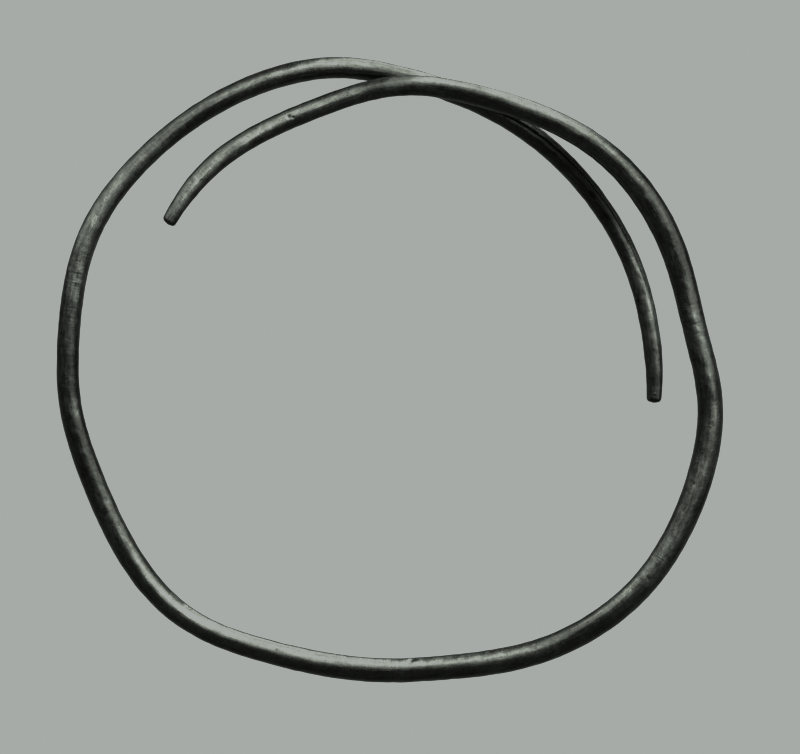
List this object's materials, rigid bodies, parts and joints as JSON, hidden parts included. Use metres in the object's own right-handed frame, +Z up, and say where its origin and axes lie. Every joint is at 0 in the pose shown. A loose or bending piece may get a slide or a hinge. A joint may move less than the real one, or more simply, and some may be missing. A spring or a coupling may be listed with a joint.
{
  "type": "penannular bracelet",
  "caption": "Plain round metal bar bent into a hoop of nearly one and a half turns, with blunt overlapping ends, worn on the wrist.",
  "frame": {"origin": "centre of the footprint, on the surface that the bracelet lies on", "axes": "+Z up out of the hoop, +X along the hoop's greatest width, +Y towards the place where the bar passes over itself"},
  "size_m": [0.0722, 0.0676, 0.0051],
  "materials": {
    "dark_bronze": "dark, smooth patina with a soft shine, finely scratched along the bar"
  },
  "bodies": {
    "root": {"bracelet": "dark_bronze"}
  },
  "joints": []
}
